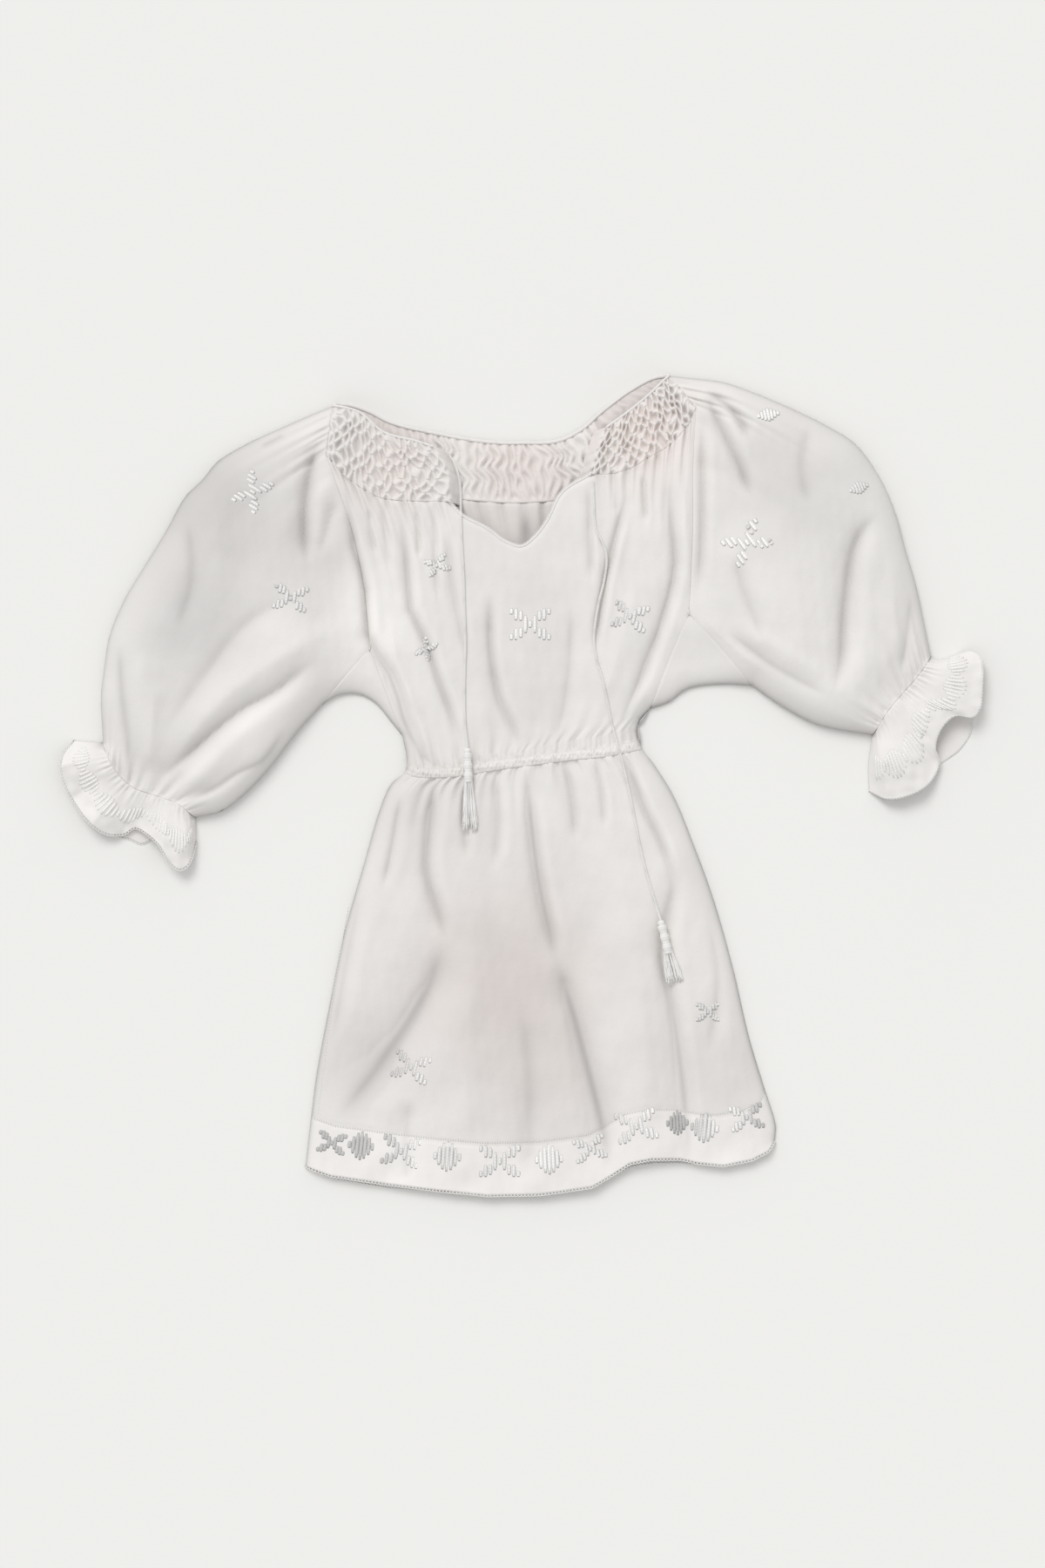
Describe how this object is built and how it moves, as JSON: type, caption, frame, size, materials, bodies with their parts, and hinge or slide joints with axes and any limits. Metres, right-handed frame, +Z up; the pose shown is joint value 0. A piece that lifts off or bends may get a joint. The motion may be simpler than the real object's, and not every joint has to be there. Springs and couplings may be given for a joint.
{
  "type": "peasant dress",
  "caption": "Short white cotton dress laid flat, with a smocked neck yoke, puffed sleeves with frilled cuffs, a gathered waist and tasselled ties.",
  "frame": {"origin": "on the surface that the dress lies on, below the middle of its plan", "axes": "+Z up from the surface, through the dress from its back to its front; +Y from the hem towards the neck; +X across the dress towards the wearer's left sleeve"},
  "size_m": [0.9699, 0.8636, 0.0442],
  "materials": {
    "cotton": "fine plain-woven cotton lawn",
    "lining": "fine plain-woven cotton lawn, the back panels",
    "smocking": "cotton lawn drawn into a smocked lattice",
    "cord": "twisted cotton cord"
  },
  "bodies": {
    "root": {"bodice_front": "cotton", "skirt_front": "cotton", "yoke_front_right": "smocking", "yoke_front_left": "smocking", "bodice_back": "lining", "skirt_back": "lining", "yoke_back": "smocking", "sleeve_right": "cotton", "sleeve_left": "cotton", "cuff_frill_right": "cotton", "cuff_frill_left": "cotton", "gusset_right": "cotton", "gusset_left": "cotton", "waist_casing": "cotton", "tie_cord_right": "cord", "tie_cord_left": "cord", "tassel_right": "cord", "tassel_left": "cord"}
  },
  "joints": []
}
